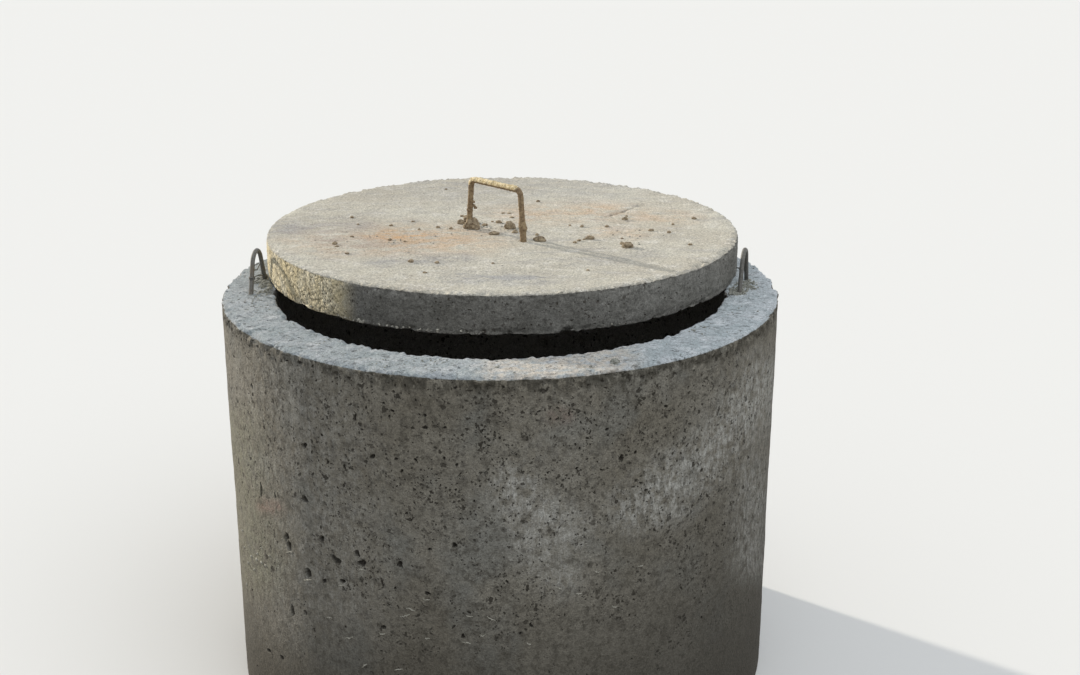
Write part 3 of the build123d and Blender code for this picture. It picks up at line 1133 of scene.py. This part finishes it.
class Painter:
    """Builds the nodes of a material, or of the world, from noise fields and point marks."""

    # Where a colour mixing node keeps its two colours and its result
    FIRST_COLOUR = 6
    SECOND_COLOUR = 7
    MIXED_COLOUR = 2

    def __init__(self, data, shader="Principled BSDF"):
        data.use_nodes = True
        self.data = data
        self.tree = data.node_tree
        self.shader = self.tree.nodes[shader]
        self.where = self.add("TexCoord").outputs["Object"]

    def add(self, kind, *values, settings=None, **inputs):
        """New node with its settings, its first inputs fed in order and others by name."""
        node = self.tree.nodes.new("ShaderNode" + kind)
        for name, value in (settings or {}).items():
            setattr(node, name, value)
        for socket, value in zip(node.inputs, values):
            self.feed(socket, value)
        for name, value in inputs.items():
            self.feed(node.inputs[name.replace("_", " ")], value)
        return node

    def feed(self, socket, value):
        """Links or sets one input."""
        if isinstance(value, bpy.types.NodeSocket):
            self.tree.links.new(value, socket)
        elif isinstance(value, tuple):
            socket.default_value = (*value, 1.0) if socket.type == "RGBA" else value
        else:
            socket.default_value = value

    def axis(self, index):
        """Place along one of the three axes."""
        return self.add("SeparateXYZ", self.where).outputs[index]

    def mark(self, name):
        """A value kept at the points of the mesh."""
        return self.add("Attribute", settings={"attribute_name": name}).outputs["Fac"]

    def noise(self, size, detail=4.0, roughness=0.55, stretch=(1, 1, 1), shift=0.0):
        """Noise of 0 to 1 with lumps of about the given size."""
        place = (shift, shift * 0.7, 0)
        moved = self.add("Mapping", Vector=self.where, Location=place, Scale=stretch).outputs[0]
        made = self.add("TexNoise", Vector=moved, Scale=1 / size, Detail=detail, Roughness=roughness)
        return made.outputs[0]

    def cells(self, size):
        """Ragged distance to the nearest of scattered points, and two random numbers for it."""
        ripple = self.add("TexNoise", Vector=self.where, Scale=1.6 / size, Detail=3.0).outputs["Color"]
        shake = self.vector("MULTIPLY", ripple, (1.2 * size,) * 3)
        made = self.add("TexVoronoi", Vector=self.vector("ADD", shake, self.where), Scale=1 / size)
        chance = self.add("SeparateColor", made.outputs["Color"])
        return made.outputs["Distance"], chance.outputs[0], chance.outputs[1]

    def vector(self, kind, *values):
        """Result of an operation on vectors."""
        return self.add("VectorMath", *values, settings={"operation": kind}).outputs[0]

    def maths(self, kind, a, b):
        """Result of an operation on two numbers."""
        return self.add("Math", a, b, settings={"operation": kind}).outputs[0]

    def product(self, first, *others):
        """Several values multiplied."""
        for other in others:
            first = self.maths("MULTIPLY", first, other)
        return first

    def fade(self, value, low, high, start=0.0, end=1.0):
        """Smooth step of a value from start at low to end at high."""
        smooth = {"interpolation_type": "SMOOTHSTEP"}
        return self.add("MapRange", value, low, high, start, end, settings=smooth).outputs[0]

    def added(self, field, other, low, high, start, end):
        """A field with another one added to it, which goes from start at low to end at high."""
        return self.maths("ADD", field, self.fade(other, low, high, start, end))

    def rough_edge(self, name, size, reach, low, high):
        """A mark with an edge made uneven by noise, from 0 at low to 1 at high."""
        uneven = self.maths("ADD", self.mark(name), self.product(self.noise(size, 3), reach))
        return self.fade(uneven, low, high)

    def mix(self, share, a, b, kind="MIX"):
        """Colour a with a share of colour b laid over it."""
        made = self.add("Mix", share, settings={"data_type": "RGBA", "blend_type": kind})
        self.feed(made.inputs[self.FIRST_COLOUR], a)
        self.feed(made.inputs[self.SECOND_COLOUR], b)
        return made.outputs[self.MIXED_COLOUR]

    def between(self, field, low, high, a, b):
        """A colour that turns from a to b while a field rises from low to high."""
        return self.mix(self.fade(field, low, high), a, b)

    def coated(self, colour, *coats, kind="MIX"):
        """The colour under thin coats: each is a field, its low and high, the largest share and a tone."""
        for field, low, high, share, tone in coats:
            colour = self.mix(self.fade(field, low, high, 0.0, share), colour, tone, kind)
        return colour

    def shaded(self, colour, strength):
        """The colour made darker or paler by a factor."""
        scale = {"operation": "SCALE"}
        return self.add("VectorMath", colour, settings=scale, Scale=strength).outputs[0]

    def seen(self):
        """1 for a ray that looks, straight or by reflection, and 0 for one that carries light."""
        ray = self.add("LightPath").outputs
        looking = self.maths("MAXIMUM", ray["Is Camera Ray"], ray["Is Glossy Ray"])
        return self.maths("MAXIMUM", looking, ray["Is Transmission Ray"])

    def finish(self, colour, heights, roughness, gloss):
        """Sets the colour, and a bump from several heights, each with its depth in metres."""
        bump = None
        for height, depth in heights:
            made = self.add("Bump", Height=height, Distance=depth, Strength=1.0)
            if bump:
                self.feed(made.inputs["Normal"], bump)
            bump = made.outputs[0]
        self.feed(self.shader.inputs["Normal"], bump)
        self.feed(self.shader.inputs["Base Color"], colour)
        self.shader.inputs["Roughness"].default_value = roughness
        self.shader.inputs["Specular IOR Level"].default_value = gloss
        return self.data


def new_painter(name):
    """Painter of a new material."""
    return Painter(bpy.data.materials.new(name))


def pinholes(paint, layers, crowd):
    """Small air holes, painted as dark spots of shade: each layer is a spacing and the share of its places
    that has one.
    """
    found = 0.0
    for size, share in layers:
        distance, chance, depth = paint.cells(size)
        reach = paint.product(paint.fade(chance, 1 - share, 1.0, 0.0, 0.52), crowd)
        dark = paint.product(
            paint.fade(paint.maths("SUBTRACT", reach, distance), 0.0, 0.12),
            paint.fade(depth, 0.0, 0.8, 0.35, 1.0),
        )
        found = paint.maths("MAXIMUM", found, dark)
    return found


def grained(paint, colour, contrast):
    """The colour with concrete's grain of dark and pale specks, and the heights for its bump."""
    fine = paint.noise(0.0035, 3, 0.7)
    speck = paint.noise(0.0019, 3, 0.7, shift=5.0)
    colour = paint.coated(
        colour,
        (fine, 0.37, 0.65, 0.5, (1 - 0.42 * contrast,) * 3),
        (speck, 0.52, 0.66, 0.6, (1 - 0.5 * contrast,) * 3),
        (speck, 0.44, 0.32, 0.4, (1 + 0.65 * contrast,) * 3),
        kind="MULTIPLY",
    )
    return colour, [(fine, 0.0012), (paint.noise(0.0011, 2, 0.6), 0.0005)]


# Tones of the ring, as linear red, green and blue
WALL_DARK = (0.224, 0.202, 0.158)
WALL_LIGHT = (0.288, 0.269, 0.226)
WALL_COOL = (0.232, 0.238, 0.222)
WALL_WORN = (0.335, 0.312, 0.262)
WALL_BLOTCH = (0.105, 0.095, 0.076)
WALL_FOOT = (0.088, 0.080, 0.065)
# Painted shade under the rim's overhanging lip
UNDER_RIM_SHADE = (0.085, 0.078, 0.062)
BORE_GREY_AND_PAINTED_LIGHT = (0.46, 0.44, 0.41)
STAIN_TONES = {"warm": (0.235, 0.228, 0.158), "pale": (0.62, 0.61, 0.565), "pink": (0.36, 0.24, 0.20)}
# Rim plaster: pale, with the blue cast of open-sky shade painted in
PLASTER_DARK_SKY_SHADED = (0.365, 0.410, 0.425)
PLASTER_PALE_SKY_SHADED = (0.475, 0.505, 0.525)
PLASTER_GAP = (0.17, 0.18, 0.175)
PLASTER_PLATE = (0.62, 0.64, 0.655)
# Painted sunlight on the rim's front
RIM_SUNLIT_CREAM = (0.64, 0.585, 0.51)
# Painted shade in small air holes
WALL_PINHOLE_SHADE = (0.045, 0.040, 0.031)
# Painted shade inside the cast air holes
WALL_HOLE_SHADE = (0.052, 0.046, 0.037)


def wall_colour(paint, large, middle, blotch):
    """Blotched cast wall, darker towards its foot, with painted shade under the rim and towards its left
    edge, and the bore painted pale grey, partly painted light.
    """
    across, up = paint.axis(0), paint.axis(2)
    colour = paint.coated(
        paint.between(large, 0.3, 0.7, WALL_DARK, WALL_LIGHT),
        (paint.noise(0.1, 3, shift=7.0), 0.5, 0.68, 0.55, WALL_COOL),
        (middle, 0.35, 0.75, 0.6, WALL_WORN),
        (blotch, 0.45, 0.66, 0.75, WALL_BLOTCH),
    )
    level = paint.added(up, large, 0.2, 0.8, -0.05, 0.05)
    level = paint.added(level, across, 0.0, 0.34, 0.0, -0.11)
    colour = paint.mix(paint.fade(level, -0.02, 0.34, 0.97, 0.0), colour, WALL_FOOT)
    # Painted shade: the wall is darkened towards its left edge
    colour = paint.shaded(colour, paint.fade(across, -0.37, -0.3, 0.82, 1.0))
    # Painted shade under the rim's lip: a ragged dark band just below the top of the wall
    ragged_shade = paint.fade(paint.noise(0.009, 5, 0.7, (1, 1, 0.4), 9.0), 0.41, 0.55, 0.0, 0.85)
    under = paint.product(paint.fade(up, RING_HEIGHT - 26 * MM, RING_HEIGHT - 10 * MM), ragged_shade)
    colour = paint.mix(under, colour, UNDER_RIM_SHADE)
    level_place = paint.vector("MULTIPLY", paint.where, (1.0, 1.0, 0.0))
    from_axis = paint.add("VectorMath", level_place, settings={"operation": "LENGTH"}).outputs["Value"]
    # The bore is painted a paler grey than the wall: partly its own grey, partly painted light that lifts
    # its shade
    inside = paint.fade(from_axis, BORE_RADIUS + 3 * MM, BORE_RADIUS + 7 * MM, 0.9, 0.0)
    return paint.mix(inside, colour, BORE_GREY_AND_PAINTED_LIGHT)


def stained_wall(paint, colour, ragged):
    """The wall's colour with its warm, pale and pink stains."""
    streaks = paint.fade(paint.noise(0.005, 5, 0.75, (1, 1, 0.3), 6.0), 0.38, 0.62, 0.25, 1.0)
    for name, factor in (("warm", 0.75), ("pale", streaks), ("pink", 0.7)):
        share = paint.product(paint.mark(name), ragged, factor)
        colour = paint.mix(share, colour, STAIN_TONES[name])
    return colour


def rim_colour(paint, middle, gaps, ragged):
    """Pale plaster of the rim, painted blue-grey as in open-sky shade, with dark gaps and pale plates,
    painted darker to the left and paler to the right, and a painted patch of sunlight in cream in front.
    """
    plaster = paint.mix(gaps, paint.between(middle, 0.3, 0.7, PLASTER_DARK_SKY_SHADED, PLASTER_PALE_SKY_SHADED), PLASTER_GAP)
    plates = paint.noise(0.02, 5, 0.75, shift=8.0)
    plaster = paint.coated(plaster, (plates, 0.5, 0.64, 0.6, PLASTER_PLATE))
    # Painted light: the plaster is darker to the left and paler to the right, where the cover's shadow
    # falls on the rim
    plaster = paint.shaded(plaster, paint.fade(paint.axis(0), -0.2, 0.36, 0.88, 1.28))
    # Painted sunlight: the cream patch on the rim's front
    return paint.mix(paint.product(paint.mark("cream"), ragged), plaster, RIM_SUNLIT_CREAM)


def wall_pinholes(paint, worn):
    """Crowds of small air holes, more of them higher up and fewer in the rim."""
    raised = paint.added(paint.noise(0.07, 4, 0.6), paint.axis(2), 0.02, 0.4, -0.16, 0.06)
    clumps = paint.fade(paint.noise(0.014, 3, 0.6, shift=9.0), 0.42, 0.56, 0.45, 1.0)
    crowd = paint.product(paint.fade(raised, 0.32, 0.56), clumps)
    holes = pinholes(paint, ((0.0034, 0.65), (0.0052, 0.6), (0.0085, 0.42)), crowd)
    return paint.product(holes, paint.fade(worn, 0.0, 1.0, 1.0, 0.35))


def ring_material():
    """Rough grey-brown concrete with air holes, under a plastered rim."""
    paint = new_painter("ring_concrete")
    middle = paint.noise(0.035, 5, 0.6)
    blotch = paint.noise(0.011, 5, 0.7, shift=2.0)
    ragged = paint.fade(paint.noise(0.012, 4, 0.65), 0.3, 0.62)
    gaps = paint.fade(paint.noise(0.007, 5, 0.75, (0.6, 1, 1), 4.0), 0.57, 0.68, 0.0, 0.6)
    worn = paint.rough_edge("plaster", 0.006, 0.5, 0.55, 0.85)
    colour = stained_wall(paint, wall_colour(paint, paint.noise(0.22, 3), middle, blotch), ragged)
    colour = paint.mix(worn, colour, rim_colour(paint, middle, gaps, ragged))
    colour, heights = grained(paint, colour, 1.2)
    holes = wall_pinholes(paint, worn)
    # Painted shade in the small air holes
    colour = paint.mix(paint.product(holes, 0.92), colour, WALL_PINHOLE_SHADE)
    # Painted shade inside the cast air holes
    colour = paint.coated(colour, (paint.mark("hole"), 0.1, 0.9, 0.85, WALL_HOLE_SHADE))
    heights += [(blotch, 0.0022), (paint.product(gaps, worn, -1.0), 0.002)]
    heights += [(paint.maths("SUBTRACT", 1.0, holes), 0.0012)]
    return paint.finish(colour, heights, 0.93, 0.25)


# Tones of the cover, as linear red, green and blue
TOP_DARK = (0.575, 0.532, 0.442)
TOP_LIGHT = (0.672, 0.642, 0.547)
TOP_BROWN = (0.50, 0.455, 0.385)
TOP_STREAK = (0.44, 0.425, 0.405)
TOP_PALE = (0.80, 0.77, 0.70)
TOP_RUST = (0.68, 0.43, 0.235)
TOP_SMEAR = (0.36, 0.36, 0.37)
SIDE_DARK = (0.180, 0.175, 0.157)
SIDE_LIGHT = (0.260, 0.254, 0.232)
SIDE_BLOTCH = (0.100, 0.095, 0.085)
# Pebbled stretch: painted low sunlight on the pebbles and painted shade in the gaps between them
SUNLIT_PEBBLE_DARK = (0.87, 0.74, 0.47)
SUNLIT_PEBBLE_LIGHT = (0.93, 0.85, 0.65)
PEBBLE_GAP_SHADE = (0.26, 0.22, 0.145)
COVER_PINHOLE_SHADE = (0.06, 0.05, 0.04)
# Painted shade inside the cover's holes, groove and hollows
COVER_HOLE_SHADE = (0.07, 0.06, 0.045)


def top_colour(paint, middle, across):
    """Trowelled top: blotched, streaked, rusty round the handle and smeared grey."""
    ragged = paint.fade(paint.noise(0.014, 5, 0.75, (0.4, 0.8, 1)), 0.36, 0.6)
    colour = paint.coated(
        paint.between(paint.noise(0.16, 3), 0.3, 0.7, TOP_DARK, TOP_LIGHT),
        (middle, 0.4, 0.75, 0.5, TOP_BROWN),
        (paint.noise(0.02, 5, 0.7, (0.35, 1.0, 1), 3.0), 0.48, 0.7, 0.55, TOP_STREAK),
        (paint.noise(0.012, 5, 0.75, (0.5, 0.7, 1), 6.0), 0.5, 0.66, 0.6, TOP_PALE),
    )
    colour = paint.mix(paint.product(paint.mark("rust"), ragged, 0.95), colour, TOP_RUST)
    colour = paint.mix(paint.product(paint.mark("smear"), ragged, 0.75), colour, TOP_SMEAR)
    return paint.shaded(colour, paint.fade(across, -0.33, 0.33, 0.92, 1.01))


def side_colour(paint, middle, blotch, across):
    """Bare grey side, painted paler to the right, with its pebbled stretch in painted sunlit beige and
    painted shade between its pebbles.
    """
    bare = paint.between(middle, 0.3, 0.7, SIDE_DARK, SIDE_LIGHT)
    bare = paint.coated(bare, (blotch, 0.45, 0.7, 0.6, SIDE_BLOTCH))
    # Painted light: the bare side is made paler towards the right
    bare = paint.shaded(bare, paint.fade(across, 0.0, 0.3, 1.0, 1.22))
    pebbles = paint.between(middle, 0.35, 0.65, SUNLIT_PEBBLE_DARK, SUNLIT_PEBBLE_LIGHT)
    # Painted sunlight on the pebbled stretch
    bare = paint.mix(paint.mark("beige"), bare, pebbles)
    # Painted shade in the gaps between pebbles
    gaps = paint.added(paint.mark("gap"), blotch, 0.3, 0.7, -0.15, 0.15)
    return paint.coated(bare, (gaps, 0.45, 1.0, 0.75, PEBBLE_GAP_SHADE))


def cover_material():
    """Pale trowelled concrete with a rough, bare side."""
    paint = new_painter("cover_concrete")
    middle = paint.noise(0.03, 5, 0.62)
    blotch = paint.noise(0.008, 5, 0.7, shift=2.0)
    across = paint.axis(0)
    side = paint.rough_edge("side", 0.005, 0.4, 0.6, 0.9)
    top = top_colour(paint, middle, across)
    colour, heights = grained(paint, paint.mix(side, top, side_colour(paint, middle, blotch, across)), 1.35)
    crowd = paint.fade(paint.noise(0.06, 4, 0.6), 0.4, 0.6)
    holes = pinholes(paint, ((0.0034, 0.3), (0.0055, 0.25)), crowd)
    holes = paint.product(holes, paint.fade(side, 0.0, 1.0, 0.3, 0.8))
    # Painted shade in the small air holes
    colour = paint.mix(holes, colour, COVER_PINHOLE_SHADE)
    # Painted shade inside the cover's holes, groove and hollows
    colour = paint.coated(colour, (paint.mark("hole"), 0.1, 0.9, 0.75, COVER_HOLE_SHADE))
    heights += [(blotch, 0.0014), (paint.maths("SUBTRACT", 1.0, holes), 0.001)]
    return paint.finish(colour, heights, 0.9, 0.25)


# Tones of the bars, as linear red, green and blue
RUST_DARK = (0.160, 0.110, 0.066)
RUST_LIGHT = (0.340, 0.245, 0.145)
# Yellowish patches: dusty rust, partly painted highlights on the legs
RUST_DUST_AND_HIGHLIGHT = (0.40, 0.31, 0.185)
CRUST_DARK = (0.46, 0.33, 0.14)
# Palest crust flecks: pale mud, partly painted highlights
CRUST_PALE_AND_HIGHLIGHT = (0.88, 0.75, 0.50)
WIRE_DARK = (0.095, 0.092, 0.085)
WIRE_LIGHT = (0.185, 0.180, 0.165)
WIRE_RUST = (0.15, 0.115, 0.08)


def bar_material():
    """Rusted steel with a pale crust of mud; the yellowish patches and the crust's palest flecks are partly
    painted highlights.
    """
    paint = new_painter("rusty_bar")
    flecks = paint.noise(0.0025, 4, 0.7)
    colour = paint.between(flecks, 0.3, 0.7, RUST_DARK, RUST_LIGHT)
    colour = paint.coated(colour, (paint.noise(0.010, 3), 0.45, 0.65, 0.6, RUST_DUST_AND_HIGHLIGHT))
    mud = paint.fade(paint.maths("ADD", paint.mark("mud"), paint.product(flecks, 0.3)), 0.45, 0.8)
    colour = paint.mix(mud, colour, paint.between(flecks, 0.35, 0.62, CRUST_DARK, CRUST_PALE_AND_HIGHLIGHT))
    return paint.finish(colour, [(flecks, 0.0008)], 0.85, 0.3)


def wire_material():
    """Dull dark wire with spots of rust."""
    paint = new_painter("loop_wire")
    flecks = paint.noise(0.0022, 4, 0.7)
    colour = paint.between(flecks, 0.3, 0.7, WIRE_DARK, WIRE_LIGHT)
    colour = paint.coated(colour, (paint.noise(0.015, 3), 0.5, 0.75, 0.6, WIRE_RUST))
    paint.shader.inputs["Metallic"].default_value = 0.25
    return paint.finish(colour, [(flecks, 0.0004)], 0.62, 0.4)


def crumbly_material(name, dark, light):
    """Dry crumbly stuff between two tones, with pale specks."""
    paint = new_painter(name)
    flecks = paint.noise(0.004, 4, 0.7)
    fine = paint.noise(0.0012, 2)
    colour = paint.between(flecks, 0.3, 0.7, dark, light)
    colour = paint.coated(colour, (fine, 0.55, 0.8, 0.5, (1.5, 1.5, 1.5)), kind="MULTIPLY")
    return paint.finish(colour, [(flecks, 0.0012), (fine, 0.0006)], 0.95, 0.15)


def dress(piece, material, slot, *nodes):
    """Gives a piece its material and body, and hides the solids it stands for; the slot is not used."""
    piece.data.materials.append(material)
    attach(piece, "root")
    if nodes:
        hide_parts(*nodes)


# Mud, mortar and crumbs, each from a dark tone to a light one
MUD_TONES = ((0.15, 0.112, 0.072), (0.48, 0.39, 0.27))
MORTAR_TONES = ((0.28, 0.27, 0.225), (0.54, 0.52, 0.455))
CRUMB_TONES = ((0.14, 0.14, 0.115), (0.44, 0.44, 0.40))

wire = wire_material()
dress(build_ring(), ring_material(), "ring_concrete", "culvert_ring")
dress(build_cover(), cover_material(), "cover_concrete", "cover_slab")
dress(build_handle(), bar_material(), "rusty_bar", "cover_handle")
for loop in LOOPS:
    dress(build_loop(loop), wire, "loop_wire", loop)
dress(build_tie_wires(), wire, "loop_wire")
dress(build_clods(), crumbly_material("dried_mud", *MUD_TONES), "cover_concrete")
dress(build_mortar(), crumbly_material("pale_mortar", *MORTAR_TONES), "ring_concrete")
dress(build_crumbs(), crumbly_material("grey_crumbs", *CRUMB_TONES), "ring_concrete")

# Floor, light and camera

FLOOR_REACH = 30
FLOOR_SEEN = (0.78, 0.775, 0.76)
FLOOR_BOUNCE = (0.24, 0.23, 0.215)
BACKDROP_SEEN = (0.84, 0.835, 0.815)
BACKDROP_LIGHT = (0.485, 0.508, 0.535)
# Lamps: direction they stand in, height over the horizon and softness in degrees, strength and tint
LAMPS = {
    "key": {"plan": (-0.79, 0.615), "rise": 15.5, "soft": 2, "strength": 3.8, "tint": (1.0, 0.925, 0.80)},
    "side": {"plan": (0.75, -0.66), "rise": 62, "soft": 70, "strength": 1.2, "tint": (0.95, 0.98, 1.0)},
}


def add_floor():
    """Level ground that gives back its own, darker light."""
    corners = [(x * FLOOR_REACH, y * FLOOR_REACH, 0) for x, y in ((-1, -1), (1, -1), (1, 1), (-1, 1))]
    mesh = bpy.data.meshes.new("floor")
    mesh.from_pydata(corners, [], [(0, 1, 2, 3)])
    paint = new_painter("floor")
    paint.feed(paint.shader.inputs["Base Color"], paint.mix(paint.seen(), FLOOR_BOUNCE, FLOOR_SEEN))
    paint.shader.inputs["Roughness"].default_value = 1.0
    paint.shader.inputs["Specular IOR Level"].default_value = 0.0
    mesh.materials.append(paint.data)
    floor = placed("floor", mesh)


def add_lights():
    """Low warm sun, a broad soft lamp from the other side, and the backdrop's light."""
    for name, facts in LAMPS.items():
        lamp = bpy.data.lights.new(name, "SUN")
        lamp.energy = facts["strength"]
        lamp.angle = math.radians(facts["soft"])
        lamp.color = facts["tint"]
        rise = math.radians(facts["rise"])
        towards = Vector(facts["plan"]).normalized().to_3d() * math.cos(rise) + UPWARD * math.sin(rise)
        placed(name, lamp).rotation_euler = towards.to_track_quat("Z", "Y").to_euler()
    world = bpy.data.worlds.new("studio")
    bpy.context.scene.world = world
    paint = Painter(world, "Background")
    paint.feed(paint.shader.inputs["Color"], paint.mix(paint.seen(), BACKDROP_LIGHT, BACKDROP_SEEN))


def add_camera():
    """Camera that stands where the object is seen from."""
    lens = bpy.data.cameras.new("camera")
    lens.sensor_fit = "HORIZONTAL"
    lens.sensor_width = SENSOR_WIDTH
    lens.lens = FOCAL_LENGTH / VIEW_WIDTH * SENSOR_WIDTH
    camera = placed("camera", lens)
    turn = Matrix((RIGHT, UP, -FORWARD)).transposed().to_4x4()
    camera.matrix_world = Matrix.Translation(CAMERA_PLACE) @ turn
    bpy.context.scene.camera = camera


add_floor()
add_lights()
add_camera()
bpy.context.scene.view_settings.view_transform = "Standard"
